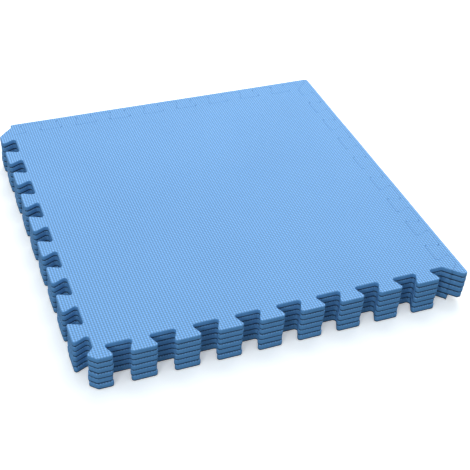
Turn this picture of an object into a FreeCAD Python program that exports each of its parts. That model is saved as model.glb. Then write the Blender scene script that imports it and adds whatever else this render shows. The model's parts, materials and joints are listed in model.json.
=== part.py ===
"""A pile of six interlocking foam blocking mats, five of them with border strips.

The frame is in millimetres, +Z up, with its origin on the floor under the middle of the mats.
Every mat repeats on a square module of tabs_per_side pitches.  A dovetail tab reaches half its
depth outside the module line and a socket reaches half its depth inside it, so mats laid one
module apart lock together.  All four sides are alike, a quarter turn apart.
"""
import FreeCAD, Part
import math
import os
import Sketcher

DIMENSIONS = {
    "module_side": 600.0,      # side of the square that one mat covers on a floor
    "tabs_per_side": 9,
    "tab_depth": 25.2,         # from the sockets' floors to the tabs' tips
    "tip_share": 0.67,         # a tab's width at its tip, in pitches
    "rail_width": 8.5,         # solid part of a border strip, outside the tabs' tips
    "sheet_thickness": 10.8,   # one foam sheet with its raised weave
    "fit_gap": 0.25,           # cut clearance between a strip's teeth and the mat
    "corner_round": 6.0,       # rounded outer corner of the strip that turns the corner
}

# Name of each sheet from the floor up, how far it lies off the pile's middle, and its border strips.
LAYERS = [
    ("bottom", 0.3, 0.4, False),
    ("fifth", -0.7, 1.1, True),
    ("fourth", -0.3, 0.4, True),
    ("third", 0.6, 0.6, True),
    ("second", 0.3, 0.3, True),
    ("top", 0.0, 0.0, True),
]

SIDES = 4
FULL_TURN = 360
RIGHT_TURN = 90
BACK_TURN = 180

doc = FreeCAD.newDocument("blocking_mats")
sheet = doc.addObject("Spreadsheet::Sheet", "Dimensions")
for row, (alias, value) in enumerate(DIMENSIONS.items(), start=1):
    sheet.set(f"A{row}", alias)
    sheet.set(f"B{row}", str(value))
    sheet.setAlias(f"B{row}", alias)
doc.recompute()


def cell(alias):
    return f"<<Dimensions>>.{alias}"


# Lengths that the sketches share, as expressions on the sheet.
PITCH = f"({cell('module_side')} / {cell('tabs_per_side')})"
CORNER_TO_TAB = f"({PITCH} / 4)"            # along a side, from the module's corner to the first tab's middle
CORNER_TO_SOCKET = f"(3 * {PITCH} / 4)"
GAP = cell("fit_gap")
MODULE = f"({cell('module_side')} / 2)"
HALF_DEPTH = f"({cell('tab_depth')} / 2)"
ROOT = f"({MODULE} - {HALF_DEPTH})"
TIP = f"({MODULE} + {HALF_DEPTH})"
RAIL_EDGE = f"({TIP} + {cell('rail_width')})"
HALF_TIP = f"({cell('tip_share')} * {PITCH} / 2)"
HALF_NECK = f"((1 - {cell('tip_share')}) * {PITCH} / 2)"
MITRE_GAP = f"({GAP} / sqrt(2))"            # the clearance's share of x and y at a diagonal's end
CORNER_GAP = f"({GAP} * (sqrt(2) - 1))"     # how far it moves the corner of a straight and a diagonal


def origin_feature(body, role):
    for feature in body.Origin.OriginFeatures:
        if feature.Role == role:
            return feature
    raise ValueError(role)


def add_outline(body, name, corners):
    """A closed outline of straight lines whose corners are (x, y) expressions."""
    sketch = body.newObject("Sketcher::SketchObject", name)
    sketch.AttachmentSupport = [(origin_feature(body, "XY_Plane"), "")]
    sketch.MapMode = "FlatFace"
    points = [FreeCAD.Vector(sketch.evalExpression(x), sketch.evalExpression(y), 0) for x, y in corners]
    for index, point in enumerate(points):
        sketch.addGeometry(Part.LineSegment(point, points[(index + 1) % len(points)]), False)
    for index in range(len(points)):
        following = (index + 1) % len(points)
        sketch.addConstraint(Sketcher.Constraint("Coincident", index, 2, following, 1))
    for index, (x, y) in enumerate(corners):
        for axis, place, expression in (("X", points[index].x, x), ("Y", points[index].y, y)):
            number = sketch.addConstraint(Sketcher.Constraint("Distance" + axis, -1, 1, index, 1, place))
            sketch.renameConstraint(number, f"{axis.lower()}{index}")
            sketch.setExpression(f"Constraints.{axis.lower()}{index}", expression)
    return sketch


def add_pad(body, name, corners):
    sketch = add_outline(body, name + "_outline", corners)
    pad = body.newObject("PartDesign::Pad", name)
    pad.Profile = sketch
    pad.setExpression("Length", cell("sheet_thickness"))
    body.Tip = pad
    doc.recompute()
    return pad


def repeat_along_side(body, pad, name):
    """Copies of a tab or tooth, one pitch apart along +X, up to the side's last one."""
    pattern = body.newObject("PartDesign::LinearPattern", name)
    pattern.Originals = [pad]
    pattern.Direction = (origin_feature(body, "X_Axis"), [""])
    pattern.setExpression("Occurrences", f"{cell('tabs_per_side')} - 1")
    pattern.setExpression("Length", f"({cell('tabs_per_side')} - 2) * {PITCH}")
    body.Tip = pattern
    doc.recompute()
    return pattern


def repeat_along_four_sides(body, pad, name):
    """Copies of a tab along the front side, turned onto the other three sides as well."""
    pattern = body.newObject("PartDesign::MultiTransform", name)
    pattern.Originals = [pad]
    along = body.newObject("PartDesign::LinearPattern", name + "_along")
    along.Direction = (origin_feature(body, "X_Axis"), [""])
    along.setExpression("Occurrences", f"{cell('tabs_per_side')} - 1")
    along.setExpression("Length", f"({cell('tabs_per_side')} - 2) * {PITCH}")
    around = body.newObject("PartDesign::PolarPattern", name + "_around")
    around.Axis = (origin_feature(body, "Z_Axis"), [""])
    around.Angle = FULL_TURN
    around.Occurrences = SIDES
    pattern.Transformations = [along, around]
    body.Tip = pattern
    doc.recompute()
    return pattern


def repeat_on_four_sides(body, pad, name):
    pattern = body.newObject("PartDesign::PolarPattern", name)
    pattern.Originals = [pad]
    pattern.Axis = (origin_feature(body, "Z_Axis"), [""])
    pattern.Angle = FULL_TURN
    pattern.Occurrences = SIDES
    body.Tip = pattern
    doc.recompute()
    return pattern


def dovetail(centre, root, tip, half_neck, half_tip):
    """Corners of a dovetail that points along -Y from the line y = -root to y = -tip."""
    return [
        (f"{centre} - {half_neck}", f"-{root}"),
        (f"{centre} - {half_tip}", f"-{tip}"),
        (f"{centre} + {half_tip}", f"-{tip}"),
        (f"{centre} + {half_neck}", f"-{root}"),
    ]


def corner_tab():
    """The front side's first tab, cut back along the two diagonals of the module's corner."""
    centre = f"(-{MODULE} + {CORNER_TO_TAB})"
    return [
        (f"-{ROOT}", f"-{ROOT}"),
        (f"-{MODULE}", f"-{MODULE}"),
        (f"-{ROOT}", f"-{TIP}"),
        (f"{centre} + {HALF_TIP}", f"-{TIP}"),
        (f"{centre} + {HALF_NECK}", f"-{ROOT}"),
    ]


def make_mat(label):
    body = doc.addObject("PartDesign::Body", label)
    body.Label = label
    square = [(f"{sx}{ROOT}", f"{sy}{ROOT}") for sx, sy in (("-", "-"), ("", "-"), ("", ""), ("-", ""))]
    add_pad(body, label + "_core", square)
    second_tab = f"(-{MODULE} + {CORNER_TO_TAB} + {PITCH})"
    tab = add_pad(body, label + "_tab", dovetail(second_tab, ROOT, TIP, HALF_NECK, HALF_TIP))
    repeat_along_four_sides(body, tab, label + "_tabs")
    corner = add_pad(body, label + "_corner_tab", corner_tab())
    repeat_on_four_sides(body, corner, label + "_corner_tabs")
    return body


def make_rail(body, label, rail_end):
    """The strip's straight outer part, with the wedge that lies against the mat's corner tab."""
    wedge_end = f"-{ROOT} - {CORNER_GAP}"
    add_pad(body, label + "_rail", [
        (f"-{MODULE} - {MITRE_GAP}", f"-{MODULE} - {MITRE_GAP}"),
        (f"-{TIP}", f"-{TIP}"),
        (f"-{TIP}", f"-{RAIL_EDGE}"),
        (rail_end, f"-{RAIL_EDGE}"),
        (rail_end, f"-{TIP} - {GAP}"),
        (wedge_end, f"-{TIP} - {GAP}"),
    ])


def add_teeth(body, label):
    """Teeth in all the side's sockets but the last."""
    first_socket = f"(-{MODULE} + {CORNER_TO_SOCKET})"
    mouth = f"({HALF_NECK} - {GAP})"
    floor = f"({HALF_TIP} - {GAP})"
    outline = dovetail(first_socket, f"({TIP} + {GAP})", f"({ROOT} + {GAP})", mouth, floor)
    tooth = add_pad(body, label + "_tooth", outline)
    repeat_along_side(body, tooth, label + "_teeth")


def add_last_tooth(body, label, turns_corner):
    """The tooth beside the module's corner, cut along the corner's diagonal."""
    last_socket = f"({MODULE} - {PITCH} + {CORNER_TO_SOCKET})"
    outline = [
        (f"{last_socket} - {HALF_NECK} + {GAP}", f"-{TIP} - {GAP}"),
        (f"{last_socket} - {HALF_TIP} + {GAP}", f"-{ROOT} - {GAP}"),
        (f"{ROOT} - {CORNER_GAP}", f"-{ROOT} - {GAP}"),
    ]
    if turns_corner:
        outline.append((f"{TIP} - {CORNER_GAP}", f"-{TIP} - {GAP}"))
    else:
        outline.append((f"{MODULE} - {MITRE_GAP}", f"-{MODULE} - {MITRE_GAP}"))
        outline.append((ROOT, f"-{TIP}"))
        outline.append((ROOT, f"-{TIP} - {GAP}"))
    add_pad(body, label + "_last_tooth", outline)


def round_outer_corner(body, label):
    """The upright edge where the strip turns the pile's outer corner."""
    solid = body.Tip
    farthest = max(solid.Shape.Edges, key=lambda edge: edge.CenterOfMass.x - edge.CenterOfMass.y)
    number = [edge.isSame(farthest) for edge in solid.Shape.Edges].index(True) + 1
    fillet = body.newObject("PartDesign::Fillet", label + "_corner")
    fillet.Base = (solid, [f"Edge{number}"])
    fillet.setExpression("Radius", cell("corner_round"))
    body.Tip = fillet
    doc.recompute()


def make_border(label, turns_corner):
    """A strip made along the front side; its placement turns it onto its own side."""
    body = doc.addObject("PartDesign::Body", label)
    body.Label = label
    make_rail(body, label, RAIL_EDGE if turns_corner else ROOT)
    add_teeth(body, label)
    add_last_tooth(body, label, turns_corner)
    if turns_corner:
        round_outer_corner(body, label)
    return body


def place(body, shift_x, shift_y, level, turn):
    upright = FreeCAD.Vector(0, 0, 1)
    height = level * sheet.get("sheet_thickness")
    place_on_pile = FreeCAD.Vector(shift_x, shift_y, height)
    body.Placement = FreeCAD.Placement(place_on_pile, FreeCAD.Rotation(upright, turn))
    body.setExpression(".Placement.Base.z", f"{level} * {cell('sheet_thickness')}")


def build_pile():
    pieces = []
    for level, (name, shift_x, shift_y, has_borders) in enumerate(LAYERS):
        mat = make_mat(name + "_mat")
        place(mat, shift_x, shift_y, level, 0)
        pieces.append(mat)
        if has_borders:
            right = make_border(name + "_right_border", turns_corner=True)
            place(right, shift_x, shift_y, level, RIGHT_TURN)
            back = make_border(name + "_back_border", turns_corner=False)
            place(back, shift_x, shift_y, level, BACK_TURN)
            pieces += [right, back]
    return pieces


def check_pile(pieces):
    """Stop on a failed feature, and compare each volume with its flat area times the thickness."""
    for feature in doc.Objects:
        if "Invalid" in feature.State or "Error" in feature.State:
            raise RuntimeError(f"{feature.Name} failed: {feature.State}")
    mat_volume = DIMENSIONS["module_side"] ** 2 * DIMENSIONS["sheet_thickness"]
    for piece in pieces:
        shape = piece.Shape
        if shape.isNull() or not shape.isValid() or len(shape.Solids) != 1:
            raise RuntimeError(f"{piece.Label} isn't one valid solid")
        if piece.Label.endswith("_mat") and not math.isclose(shape.Volume, mat_volume, rel_tol=1e-6):
            raise RuntimeError(f"{piece.Label} has volume {shape.Volume}, not {mat_volume}")


pile = build_pile()
doc.recompute()
check_pile(pile)
os.makedirs("parts", exist_ok=True)
for piece in pile:
    piece.Shape.exportStep(f"parts/{piece.Label}.step")
print(f"{len(pile)} pieces")
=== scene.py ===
import json
import math
from collections import namedtuple

import bpy
import numpy as np
from mathutils import Matrix, Vector, geometry


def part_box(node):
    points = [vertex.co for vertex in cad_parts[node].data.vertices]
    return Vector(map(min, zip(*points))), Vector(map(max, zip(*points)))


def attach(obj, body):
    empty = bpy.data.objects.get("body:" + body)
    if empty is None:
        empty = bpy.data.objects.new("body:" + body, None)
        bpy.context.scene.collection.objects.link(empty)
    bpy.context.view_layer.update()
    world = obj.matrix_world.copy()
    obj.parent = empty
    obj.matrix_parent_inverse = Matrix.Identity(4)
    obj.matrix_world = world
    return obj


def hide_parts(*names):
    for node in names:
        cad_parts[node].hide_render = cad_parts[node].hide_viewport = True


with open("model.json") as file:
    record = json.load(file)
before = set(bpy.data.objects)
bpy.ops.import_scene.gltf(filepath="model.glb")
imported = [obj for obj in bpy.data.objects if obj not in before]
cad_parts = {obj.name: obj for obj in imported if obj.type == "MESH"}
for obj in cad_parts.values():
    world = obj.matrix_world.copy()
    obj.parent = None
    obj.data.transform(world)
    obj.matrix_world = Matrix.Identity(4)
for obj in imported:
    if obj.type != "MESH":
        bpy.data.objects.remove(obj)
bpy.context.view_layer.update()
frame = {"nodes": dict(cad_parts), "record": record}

MM = 0.001

# The pile's sheets from the floor up, and the pieces each is made of.
LEVELS = ["bottom", "fifth", "fourth", "third", "second", "top"]
SIDES = ["_mat", "_right_border", "_back_border"]

# Reading the CAD meshes.
SAME_CORNER = 0.001 * MM     # corners are matched on a grid this fine
LEVEL_WITH_TOP = 0.01 * MM   # a face this close under a node's top is part of its top face
FACES_UP = 0.99              # least upward part of such a face's normal
STRAIGHT = 0.001             # sine of the smallest turn that makes a corner

# The raised weave on each sheet's face.
CELL = 4.3 * MM              # one crossing of the weave
RELIEF = 0.60 * MM           # from the grooves' crossings to the highest knots
RIB_SHARE = 0.30             # ribs along Y, as a share of the relief
BAR_SHARE = 0.17             # bars along X, across the ribs
KNOT_SHARE = 0.10            # every other crossing is higher by this share
MEAN_LEVEL = 1 - RIB_SHARE - BAR_SHARE - KNOT_SHARE
KNOT_UNEVENNESS = 0.05       # random part of a knot's height
RIM_CLEARANCE = 0.8 * MM     # between the weave's last points and the sheet's cut edge

# The cut edge, seen from above.
CORNER_ROUND = 4.2 * MM      # the dovetails' corners, outer and inner
SEAM_END_ROUND = 0.3 * MM    # corners where the seam to the next piece comes out
SEAM_WIDTH = 0.8 * MM        # an edge that is closer to the next piece than this is a seam
EDGE_STEP = 3.2 * MM         # longest straight run between two points of an outline
ARC_STEPS = 5
GENTLE_TURN = math.radians(20)

# The cut edge from the face down to the underside.
UPPER_RIM = 1.3 * MM         # radius of the face's rim
LOWER_RIM = 2.3 * MM         # radius of the underside's rim, which the blade pulled under
SEAM_RIM = 0.15 * MM         # radius of both where a strip fills the edge's sockets
UPPER_TURNS = np.radians([0, 45, 90])
LOWER_TURNS = np.radians([0, 30, 60, 90])
WALL_RING = 0.6              # height of the ring on the plain wall, as a share of the thickness
RIM_WEAVE = 0.3              # how much of the weave's relief is left on the rim
SKIN_RINGS = 1               # rings of the rounded rim that the moulded skin covers
SHADE_TOP = 4.2 * MM         # height over the underside where painted shade of the seam below starts to darken the wall
HALF_SHADE = 0.7             # painted shade halfway between there and the underside's rim

# Small faults of soft foam: how large they are and how long their waves.
EDGE_WANDER = 0.25 * MM      # sideways, shared by all the pieces of one sheet
WANDER_LENGTH = 160 * MM
SHEET_WAVE = 0.22 * MM       # up and down, shared by the two sheets that meet
SHEET_WAVE_LENGTH = 190 * MM
WALL_WAVE = 0.14 * MM        # in and out, where the blade leaned
WALL_WAVE_LENGTH = 23 * MM
WAVE_TERMS = 6
WAVE_SPREAD = (0.7, 1.6)     # shortest and longest wave of a sum, as shares of its wavelength

# Seeds. Each sheet adds its level to them.
SEED = 7
WANDER_X_SEED = SEED + 11
WANDER_Y_SEED = SEED + 51
SHEET_WAVE_SEED = SEED + 71

# Colours, linear.
SKIN_BLUE = (0.180, 0.425, 0.800, 1)
SKIN_PALE = (0.205, 0.465, 0.860, 1)
# The cut's blues are darker than the skin's: partly the cut foam's own deeper tone, partly painted shade that
# keeps the upright walls darker than the lit face.
CUT_BLUE_WITH_SHADE = (0.125, 0.330, 0.630, 1)
CUT_DEEP_WITH_SHADE = (0.095, 0.275, 0.560, 1)
UNDER_SHADE = 0.16           # painted shade: how light the cut is where it turns under into the seam below, next to 1 on the wall
WHITE = (1.0, 1.0, 1.0, 1)

# The camera, as measured on the mats: where it aims on the pile's top face, from where, and how it leans.
AIM = Vector((-1.8, -111.2, 0.0)) * MM
CAMERA_AZIMUTH = math.radians(23.135)
CAMERA_ELEVATION = math.radians(38.935)
CAMERA_ROLL = math.radians(3.533)
CAMERA_DISTANCE = 1.6189
CAMERA_LENS = 75.425

# The studio, in metres and watts.
SOFTBOXES = {
    "top_softbox": {"place": (0.7, 1.2, 1.8), "aim": (0, 0.1, 0), "size": (2.2, 1.8), "power": 31},
    "front_softbox": {"place": (-2.4, -2.5, 2.1), "aim": (0, 0, 0), "size": (0.8, 0.7), "power": 30},
}
SKY_COLOUR = (0.82, 0.93, 1.0, 1)
SKY_STRENGTH = 0.72
HORIZON = 0.02               # half the height of the horizon's soft step, on a sky of radius 1
FLOOR_REACH = 12.0
FLOOR_ROUGHNESS = 0.9
FLOOR_GLOW = 0.3             # keeps the pile's shadow as pale as a cut-out's

# One ring of points round the cut wall. Drawn is how far in it lies, as a share of its rim's radius; shade is
# its painted shade, from 0 to 1.
Ring = namedtuple("Ring", "radius drawn height weave shade")


def smooth_noise(points, seed, wavelength):
    """A sum of plane waves in x and y between about -1 and 1, the same for every piece."""
    draw = np.random.default_rng(seed)
    total = np.zeros(len(points))
    for _ in range(WAVE_TERMS):
        angle = draw.uniform(0, 2 * math.pi)
        length = wavelength * draw.uniform(*WAVE_SPREAD)
        phase = draw.uniform(0, 2 * math.pi)
        along = points[:, 0] * math.cos(angle) + points[:, 1] * math.sin(angle)
        total += np.cos(2 * math.pi * along / length + phase)
    return total / math.sqrt(2 * WAVE_TERMS)


def outline_of(node):
    """The corners of a CAD node's top face, in order, anticlockwise seen from above."""
    mesh = frame["nodes"][node].data
    places = np.array([v.co[:] for v in mesh.vertices])
    lowest = places[:, 2].max() - LEVEL_WITH_TOP
    keys = [tuple(np.round(p[:2] / SAME_CORNER).astype(int)) for p in places]
    directed = set()
    for face in mesh.polygons:
        corners = list(face.vertices)
        if face.normal.z < FACES_UP or min(places[corners, 2]) < lowest:
            continue
        for a, b in zip(corners, corners[1:] + corners[:1]):
            directed.add((keys[a], keys[b]))
    following = {a: b for a, b in directed if (b, a) not in directed}
    start = min(following)
    loop = [start]
    while following[loop[-1]] != start:
        loop.append(following[loop[-1]])
    return drop_straight(np.array(loop) * SAME_CORNER)


def drop_straight(loop):
    """The loop without the points that lie on a straight run."""
    into = loop - np.roll(loop, 1, axis=0)
    out = np.roll(loop, -1, axis=0) - loop
    turn = into[:, 0] * out[:, 1] - into[:, 1] * out[:, 0]
    size = np.linalg.norm(into, axis=1) * np.linalg.norm(out, axis=1)
    return loop[np.abs(turn) > STRAIGHT * size]


def round_corners(loop, others):
    """Each sharp corner becomes an arc; gentle turns, which are arcs already, stay."""
    radii = corner_radii(loop, others)
    rounded = []
    for i, here in enumerate(loop):
        before, after = loop[i - 1], loop[(i + 1) % len(loop)]
        to_before = (before - here) / np.linalg.norm(before - here)
        to_after = (after - here) / np.linalg.norm(after - here)
        turn = math.pi - math.acos(float(np.clip(to_before @ to_after, -1, 1)))
        if turn < GENTLE_TURN:
            rounded.append(here)
            continue
        reach = radii[i] * math.tan(turn / 2)
        start, end = here + reach * to_before, here + reach * to_after
        for share in np.linspace(0, 1, ARC_STEPS + 1):
            rounded.append(arc_point(start, here, end, turn, share))
    return np.array(rounded)


def corner_radii(loop, others):
    """Corners are rounded, but hardly where a seam comes out or where three pieces meet."""
    after_is_seam = in_seam((loop + np.roll(loop, -1, axis=0)) / 2, others)
    ends_seam = after_is_seam != np.roll(after_is_seam, 1)
    meets_two = sum(distance_to(loop, other) < SEAM_WIDTH for other in others) > 1
    return np.where(ends_seam | meets_two, SEAM_END_ROUND, CORNER_ROUND)


def arc_point(start, corner, end, turn, share):
    """A point on the circle that touches both sides of a corner, as a rational curve."""
    weight = math.cos(turn / 2)
    a, b, c = (1 - share) ** 2, 2 * share * (1 - share) * weight, share ** 2
    return (a * start + b * corner + c * end) / (a + b + c)


def refine(loop, longest):
    """The loop with its long straight runs divided."""
    fine = []
    for here, after in zip(loop, np.roll(loop, -1, axis=0)):
        parts = max(1, math.ceil(np.linalg.norm(after - here) / longest))
        for part in range(parts):
            fine.append(here + (after - here) * part / parts)
    return np.array(fine)


def inward(loop):
    """For each point of the loop, the step that draws both its edges in by one unit."""
    edge = np.roll(loop, -1, axis=0) - loop
    edge /= np.linalg.norm(edge, axis=1)[:, None]
    normal = np.stack([-edge[:, 1], edge[:, 0]], axis=1)
    previous = np.roll(normal, 1, axis=0)
    return (normal + previous) / (1 + (normal * previous).sum(axis=1))[:, None]


def distance_to(points, loop):
    """Distance from each point to the nearest place on a closed loop."""
    nearest = np.full(len(points), np.inf)
    for a, b in zip(loop, np.roll(loop, -1, axis=0)):
        along = b - a
        share = np.clip(((points - a) @ along) / (along @ along), 0, 1)
        nearest = np.minimum(nearest, np.linalg.norm(points - a - share[:, None] * along, axis=1))
    return nearest


def in_seam(points, others):
    """Whether each point lies on a seam to one of the other outlines."""
    touching = np.zeros(len(points), bool)
    for other in others:
        touching |= distance_to(points, other) < SEAM_WIDTH
    return touching


def is_inside(points, loop):
    """Whether each point lies inside a closed loop, by counting crossings."""
    inside = np.zeros(len(points), bool)
    for a, b in zip(loop, np.roll(loop, -1, axis=0)):
        crosses = (a[1] > points[:, 1]) != (b[1] > points[:, 1])
        if crosses.any():
            at = a[0] + (points[crosses, 1] - a[1]) / (b[1] - a[1]) * (b[0] - a[0])
            inside[np.flatnonzero(crosses)] ^= points[crosses, 0] < at
    return inside


def weave_height(points):
    """Height of the weave from about 0 in its grooves to 1 on its highest knots."""
    x, y = math.pi * points[:, 0] / CELL, math.pi * points[:, 1] / CELL
    ribs = RIB_SHARE * np.cos(2 * x) + BAR_SHARE * np.cos(2 * y)
    return MEAN_LEVEL + ribs + KNOT_SHARE * np.cos(x) * np.cos(y)


def woven_grid(rim):
    """Points of the weave inside a rim, and their square faces: (points, faces)."""
    step = CELL / 2
    low, high = rim.min(axis=0), rim.max(axis=0)
    columns = np.arange(math.ceil(low[0] / step), math.floor(high[0] / step) + 1)
    rows = np.arange(math.ceil(low[1] / step), math.floor(high[1] / step) + 1)
    places = np.stack(np.meshgrid(columns, rows, indexing="ij"), axis=-1).reshape(-1, 2) * step
    kept = is_inside(places, rim)
    near = np.flatnonzero(kept)
    kept[near] = distance_to(places[near], rim) > RIM_CLEARANCE
    kept = kept.reshape(len(columns), len(rows))
    number = np.arange(kept.size).reshape(kept.shape)
    squares = square_corners(number)[square_corners(kept).all(axis=-1)]
    used, faces = np.unique(squares, return_inverse=True)
    return places[used], faces.reshape(squares.shape)


def square_corners(values):
    """The values at the four corners of each square of a grid, anticlockwise."""
    return np.stack([values[:-1, :-1], values[1:, :-1], values[1:, 1:], values[:-1, 1:]], axis=-1)


def border_edges(faces):
    """The edges that only one of the faces has, in that face's direction."""
    starts = faces.reshape(-1)
    ends = np.roll(faces, -1, axis=1).reshape(-1)
    edges = set(zip(starts.tolist(), ends.tolist()))
    return [(a, b) for a, b in edges if (b, a) not in edges]


def in_weave(points, grid, border):
    """Whether each point lies inside the weave's ragged border, by counting crossings."""
    inside = np.zeros(len(points), bool)
    for start, end in border:
        a, b = grid[start], grid[end]
        if a[1] == b[1]:
            continue
        inside ^= ((a[1] > points[:, 1]) != (b[1] > points[:, 1])) & (points[:, 0] < a[0])
    return inside


def triangulate(places, edges):
    """Triangles that keep the given edges, and the middle of each: (triangles, middles)."""
    inner_triangles, same_place = 1, 1e-9
    corners = [Vector(place) for place in places]
    made, _, faces, origins, _, _ = geometry.delaunay_2d_cdt(corners, edges, [], inner_triangles, same_place)
    triangles = [[origins[k][0] for k in face] for face in faces]
    middles = np.array([np.mean([made[k][:] for k in face], axis=0) for face in faces])
    return triangles, middles


def ring_edges(count):
    """The edges that join count points in a ring, as pairs of their numbers."""
    return [(k, (k + 1) % count) for k in range(count)]


def fill_between(rim, grid, border):
    """Triangles between the rim and the weave's ragged border: indices into rim + grid."""
    at_border = sorted({start for start, _ in border})
    short = {point: len(rim) + k for k, point in enumerate(at_border)}
    edges = ring_edges(len(rim)) + [(short[start], short[end]) for start, end in border]
    triangles, middles = triangulate(np.concatenate([rim, grid[at_border]]), edges)
    number = list(range(len(rim))) + [len(rim) + point for point in at_border]
    keep = ~in_weave(middles, grid, border) & is_inside(middles, rim)
    return [[number[k] for k in triangle] for triangle, kept in zip(triangles, keep) if kept]


def flat_fill(rim):
    """Triangles over a rim, as indices into it."""
    triangles, middles = triangulate(rim, ring_edges(len(rim)))
    return [triangle for triangle, kept in zip(triangles, is_inside(middles, rim)) if kept]


def edge_profile(thickness):
    """The cut wall's rings from the face's rim down to the underside's."""
    rings = []
    for turn in UPPER_TURNS:
        drop = 1 - math.cos(turn)
        height = thickness - drop * UPPER_RIM
        rings.append(Ring(UPPER_RIM, 1 - math.sin(turn), height, RIM_WEAVE * (1 - drop), 0))
    rings.append(Ring(0, 0, thickness * WALL_RING, 0, 0))
    rings.append(Ring(0, 0, SHADE_TOP, 0, 0))
    # Painted shade from here down: the wall darkens towards the underside's rim, where it meets the sheet
    # below or the floor.
    rings.append(Ring(0, 0, (SHADE_TOP + LOWER_RIM) / 2, 0, HALF_SHADE))
    for turn in LOWER_TURNS:
        rings.append(Ring(LOWER_RIM, 1 - math.cos(turn), (1 - math.sin(turn)) * LOWER_RIM, 0, 1))
    return rings


def draw_rings(loop, is_seam, profile, thickness):
    """The profile's rings in plan, drawn in from the loop; the walls of a seam stay straight."""
    step_in = inward(loop)
    wave = smooth_noise(loop, SEED, WALL_WAVE_LENGTH) * WALL_WAVE * ~is_seam
    rings = []
    for ring in profile:
        lean = wave * math.sin(math.pi * ring.height / thickness)
        depth = np.where(is_seam, min(ring.radius, SEAM_RIM), ring.radius) * ring.drawn + lean
        rings.append(loop + step_in * depth[:, None])
    return rings


class SheetPlan:
    """The flat plan of a foam piece and its faces, shared by all the pieces with one outline."""

    def __init__(self, node, neighbours):
        low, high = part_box(node)
        self.middle = np.array((low + high)[:2]) / 2
        self.thickness = high.z - low.z
        others = [outline_of(neighbour) for neighbour in neighbours]
        loop = refine(round_corners(outline_of(node), others), EDGE_STEP)
        profile = edge_profile(self.thickness)
        rings = draw_rings(loop, in_seam(loop, others), profile, self.thickness)
        grid, squares = woven_grid(rings[0])
        counts = [len(loop)] * len(rings) + [len(grid)]
        self.flat = np.concatenate(rings + [grid])
        self.height = np.repeat([ring.height for ring in profile] + [self.thickness], counts)
        self.weave_share = np.repeat([ring.weave for ring in profile] + [1], counts)
        self.shade = np.repeat([ring.shade for ring in profile] + [0], counts)
        self.make_faces(rings, grid, squares)

    def make_faces(self, rings, grid, squares):
        """The woven face first, then the wall ring by ring from the face down, then the underside."""
        count = len(rings[0])
        grid_start = len(rings) * count
        gap = fill_between(rings[0], grid, border_edges(squares))
        on_rim = [[k if k < count else grid_start + k - count for k in face] for face in gap]
        self.faces = (squares + grid_start).tolist() + on_rim
        self.face_count = len(self.faces)
        foot = grid_start - count
        for upper in range(0, foot, count):
            for k, after in ring_edges(count):
                self.faces.append([upper + k, upper + count + k, upper + count + after, upper + after])
        self.rim_count = SKIN_RINGS * count
        self.wall_count = len(self.faces) - self.face_count
        self.faces += [[foot + k for k in reversed(face)] for face in flat_fill(rings[-1])]


def foam_piece(name, node, plan, level):
    """One foam piece as a closed mesh: woven face, rounded rims, cut wall and plain underside."""
    low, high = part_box(node)
    shift = np.array((low + high)[:2]) / 2 - plan.middle
    random = np.random.default_rng(SEED + level)
    unevenness = random.normal(0, KNOT_UNEVENNESS, len(plan.flat))
    weave = np.clip(weave_height(plan.flat) + unevenness, 0, 1)
    height = plan.height - RELIEF * (1 - weave) * plan.weave_share
    places = settle(plan.flat + shift, height, low.z, plan.thickness, level)
    mesh = bpy.data.meshes.new(name)
    mesh.from_pydata(places.tolist(), [], plan.faces)
    mesh.update()
    mark_faces(mesh, plan)
    piece = bpy.data.objects.new(name, mesh)
    bpy.context.scene.collection.objects.link(piece)
    return piece


def mark_faces(mesh, plan):
    """The wall is shaded smooth, all of it but its skinned rim takes the second material, the cut."""
    is_wall = np.zeros(len(plan.faces), bool)
    is_wall[plan.face_count:plan.face_count + plan.wall_count] = True
    is_cut = is_wall.copy()
    is_cut[plan.face_count:plan.face_count + plan.rim_count] = False
    mesh.polygons.foreach_set("use_smooth", is_wall)
    mesh.polygons.foreach_set("material_index", is_cut.astype(int))
    # The painted shade of the seam under the sheet goes on the points, for the cut material.
    painted_seam_shade = mesh.attributes.new("painted_seam_shade", "FLOAT", "POINT")
    painted_seam_shade.data.foreach_set("value", plan.shade.astype(np.float32))


def settle(flat, height, base, thickness, level):
    """Sheet-wide faults: the outline wanders a little, and the sheet follows the ones it touches."""
    share = height / thickness
    below = sheet_wave(flat, level)
    above = sheet_wave(flat, level + 1)
    wander_x = smooth_noise(flat, WANDER_X_SEED + level, WANDER_LENGTH) * EDGE_WANDER
    wander_y = smooth_noise(flat, WANDER_Y_SEED + level, WANDER_LENGTH) * EDGE_WANDER
    z = base + height + (1 - share) * below + share * above
    return np.stack([flat[:, 0] + wander_x, flat[:, 1] + wander_y, z], axis=1)


def sheet_wave(flat, level):
    """How far the boundary under the sheet at this level lies off its plane; none at the floor."""
    if level == 0:
        return np.zeros(len(flat))
    return smooth_noise(flat, SHEET_WAVE_SEED + level, SHEET_WAVE_LENGTH) * SHEET_WAVE


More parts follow.
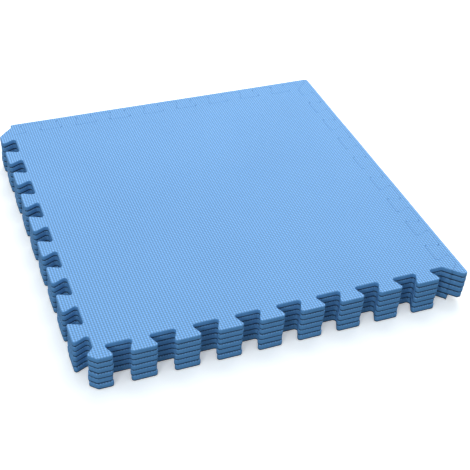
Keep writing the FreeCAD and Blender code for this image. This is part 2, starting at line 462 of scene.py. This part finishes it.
class Nodes:
    """A short way to write a material's nodes."""

    def __init__(self, name):
        self.material = bpy.data.materials.new(name)
        self.material.use_nodes = True
        self.tree = self.material.node_tree
        self.surface = self.tree.nodes["Principled BSDF"]

    def fill(self, socket, value):
        """Links the socket to another node's output, or sets it to a plain value."""
        if isinstance(value, bpy.types.NodeSocket):
            self.tree.links.new(value, socket)
        else:
            socket.default_value = value

    def add(self, kind, inputs=None, **settings):
        """A new node with its properties set and its inputs filled."""
        node = self.tree.nodes.new(kind)
        for key, value in settings.items():
            setattr(node, key, value)
        for key, value in (inputs or {}).items():
            self.fill(node.inputs[key], value)
        return node

    def math(self, operation, a, b=0.0, c=0.0):
        return self.add("ShaderNodeMath", {0: a, 1: b, 2: c}, operation=operation).outputs[0]

    def noise(self, vector, scale, detail, roughness=0.5):
        inputs = {"Vector": vector, "Scale": scale, "Detail": detail, "Roughness": roughness}
        return self.add("ShaderNodeTexNoise", inputs).outputs["Fac"]

    def span(self, value, low, high):
        """A value of 0 to 1 brought to the span from low to high."""
        return self.add("ShaderNodeMapRange", {"Value": value, "To Min": low, "To Max": high}).outputs[0]

    def mix(self, share, a, b):
        """A colour between a and b."""
        node = self.add("ShaderNodeMix", data_type="RGBA")
        for key, value in (("Factor", share), ("A", a), ("B", b)):
            self.fill(next(s for s in node.inputs if s.name == key and s.enabled), value)
        return next(s for s in node.outputs if s.enabled)

    def tint(self, colour, value):
        """The colour made lighter or darker by a value around 1."""
        return self.add("ShaderNodeHueSaturation", {"Color": colour, "Value": value}).outputs["Color"]

    def bump(self, height, strength, distance, normal=None):
        inputs = {"Height": height, "Strength": strength, "Distance": distance}
        if normal is not None:
            inputs["Normal"] = normal
        return self.add("ShaderNodeBump", inputs).outputs["Normal"]

    def finish(self, **sockets):
        """Fills the surface shader's sockets, named with _ for a space, and returns the material."""
        for key, value in sockets.items():
            self.fill(self.surface.inputs[key.replace("_", " ")], value)
        return self.material


def weave_nodes(nodes, place):
    """The weave's height from 0 to 1 as shader maths, in step with the mesh."""
    split = nodes.add("ShaderNodeSeparateXYZ", {0: place})
    x, y = split.outputs[0], split.outputs[1]
    ribs, bars = [nodes.math("COSINE", nodes.math("MULTIPLY", axis, 2 * math.pi / CELL)) for axis in (x, y)]
    half_x, half_y = [nodes.math("COSINE", nodes.math("MULTIPLY", axis, math.pi / CELL)) for axis in (x, y)]
    height = nodes.math("MULTIPLY_ADD", ribs, RIB_SHARE, MEAN_LEVEL)
    height = nodes.math("MULTIPLY_ADD", bars, BAR_SHARE, height)
    return nodes.math("MULTIPLY_ADD", nodes.math("MULTIPLY", half_x, half_y), KNOT_SHARE, height)


def skin_material():
    """The moulded face: a fine weave with painted shade in its grooves and painted light on its knots, a
    closed pore skin and a soft sheen.
    """
    nodes = Nodes("foam_skin")
    place = nodes.add("ShaderNodeTexCoord").outputs["Object"]
    cloud = nodes.noise(place, scale=6.0, detail=3.0)
    pores = nodes.noise(place, scale=1400.0, detail=2.0, roughness=0.7)
    weave = weave_nodes(nodes, place)
    colour = nodes.mix(cloud, SKIN_BLUE, SKIN_PALE)
    # Painted shade in the weave's grooves and painted light on its knots, for the shadows of relief finer
    # than the mesh.
    colour = nodes.tint(colour, nodes.span(weave, low=0.52, high=1.24))
    colour = nodes.tint(colour, nodes.span(pores, low=0.95, high=1.05))
    weave_bump = nodes.bump(weave, strength=0.8, distance=0.45 * MM)
    return nodes.finish(
        Base_Color=colour,
        Roughness=nodes.span(pores, low=0.46, high=0.66),
        Normal=nodes.bump(pores, strength=0.25, distance=0.06 * MM, normal=weave_bump),
        Specular_IOR_Level=0.35,
        Sheen_Weight=0.12,
        Sheen_Roughness=0.5,
    )


def cut_material():
    """The cut wall: open pores, the blade's faint upright marks, no skin, a blue darkened partly by painted
    shade, and painted shade on its lower rim where it meets the sheet below or the floor.
    """
    nodes = Nodes("foam_cut")
    place = nodes.add("ShaderNodeTexCoord").outputs["Object"]
    stretched = nodes.add("ShaderNodeMapping", {"Vector": place, "Scale": (1, 1, 0.12)}).outputs[0]
    cloud = nodes.noise(place, scale=14.0, detail=3.0)
    pores = nodes.noise(place, scale=420.0, detail=4.0, roughness=0.75)
    strokes = nodes.noise(stretched, scale=420.0, detail=2.0, roughness=0.6)
    painted_seam_shade = nodes.add("ShaderNodeAttribute", attribute_name="painted_seam_shade").outputs["Fac"]
    # The cut's blues hold painted shade of the upright walls as well as the foam's own tone.
    colour = nodes.mix(cloud, CUT_DEEP_WITH_SHADE, CUT_BLUE_WITH_SHADE)
    colour = nodes.tint(colour, nodes.span(pores, low=0.70, high=1.30))
    colour = nodes.tint(colour, nodes.span(strokes, low=0.92, high=1.08))
    # Painted shade: the wall darkens where it turns under into the seam below.
    colour = nodes.tint(colour, nodes.span(painted_seam_shade, low=1.0, high=UNDER_SHADE))
    stroke_bump = nodes.bump(strokes, strength=0.35, distance=0.15 * MM)
    return nodes.finish(
        Base_Color=colour,
        Roughness=nodes.span(pores, low=0.66, high=0.88),
        Normal=nodes.bump(pores, strength=0.45, distance=0.12 * MM, normal=stroke_bump),
        Specular_IOR_Level=0.25,
    )


def plan_sheets():
    """One plan for each of the three kinds of piece, taken from the top sheet."""
    plans = {}
    for side in SIDES:
        neighbours = ["top" + other for other in SIDES if other != side]
        plans[side] = SheetPlan("top" + side, neighbours)
    return plans


def build_pile():
    """Every foam piece, in place of its CAD node and riding on that node's body."""
    bodies = frame["record"]["behaviour"]["bodies"]
    bodies_of = {node: body for body, nodes in bodies.items() for node in nodes}
    skin, cut = skin_material(), cut_material()
    plans = plan_sheets()
    for level, sheet in enumerate(LEVELS):
        for side in SIDES:
            node = sheet + side
            if node not in bodies_of:
                continue
            piece = foam_piece(node + "_foam", node, plans[side], level)
            piece.data.materials.append(skin)
            piece.data.materials.append(cut)
            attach(piece, bodies_of[node])
            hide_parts(node)


def make_camera():
    """The camera at the photo's angle, its aim set on the pile's top face."""
    data = bpy.data.cameras.new("camera")
    data.lens = CAMERA_LENS
    camera = bpy.data.objects.new("camera", data)
    bpy.context.scene.collection.objects.link(camera)
    turn = Matrix.Rotation(-CAMERA_AZIMUTH, 4, "Z")
    turn @= Matrix.Rotation(math.pi / 2 - CAMERA_ELEVATION, 4, "X")
    turn @= Matrix.Rotation(CAMERA_ROLL, 4, "Z")
    target = AIM + Vector((0, 0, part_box("top_mat")[1].z))
    back = turn.to_3x3() @ Vector((0, 0, 1))
    camera.matrix_world = Matrix.Translation(target + back * CAMERA_DISTANCE) @ turn
    bpy.context.scene.camera = camera


def add_softbox(name, place, aim, size, power):
    """A rectangular lamp at a place, turned towards its aim."""
    data = bpy.data.lights.new(name, "AREA")
    data.shape = "RECTANGLE"
    data.size, data.size_y = size
    data.energy = power
    lamp = bpy.data.objects.new(name, data)
    bpy.context.scene.collection.objects.link(lamp)
    lamp.location = place
    lamp.rotation_euler = (Vector(aim) - Vector(place)).to_track_quat("-Z", "Y").to_euler()


def light_the_sky(tree):
    """Soft light from everywhere over the horizon, and none from below, because the floor lets it through."""
    direction = tree.nodes.new("ShaderNodeTexCoord").outputs["Generated"]
    split = tree.nodes.new("ShaderNodeSeparateXYZ")
    tree.links.new(direction, split.inputs[0])
    above = tree.nodes.new("ShaderNodeMapRange")
    above.inputs["From Min"].default_value = -HORIZON
    above.inputs["From Max"].default_value = HORIZON
    above.inputs["To Max"].default_value = SKY_STRENGTH
    tree.links.new(split.outputs["Z"], above.inputs["Value"])
    background = tree.nodes["Background"]
    background.inputs["Color"].default_value = SKY_COLOUR
    tree.links.new(above.outputs[0], background.inputs["Strength"])


def make_studio():
    """The lamps, the sky and plain colour management."""
    for name, softbox in SOFTBOXES.items():
        add_softbox(name, **softbox)
    world = bpy.data.worlds.new("studio")
    bpy.context.scene.world = world
    world.use_nodes = True
    light_the_sky(world.node_tree)
    bpy.context.scene.view_settings.view_transform = "Standard"


def make_floor():
    """A white floor that takes shadows and throws no light back at the pile."""
    mesh = bpy.data.meshes.new("studio_floor")
    corners = [(x * FLOOR_REACH, y * FLOOR_REACH, 0) for x, y in ((-1, -1), (1, -1), (1, 1), (-1, 1))]
    mesh.from_pydata(corners, [], [(0, 1, 2, 3)])
    floor = bpy.data.objects.new("studio_floor", mesh)
    bpy.context.scene.collection.objects.link(floor)
    white = Nodes("studio_floor").finish(
        Base_Color=WHITE,
        Roughness=FLOOR_ROUGHNESS,
        Emission_Color=WHITE,
        Emission_Strength=FLOOR_GLOW,
    )
    mesh.materials.append(white)
    floor.visible_diffuse = False


make_camera()
build_pile()
make_studio()
make_floor()
bpy.context.view_layer.update()
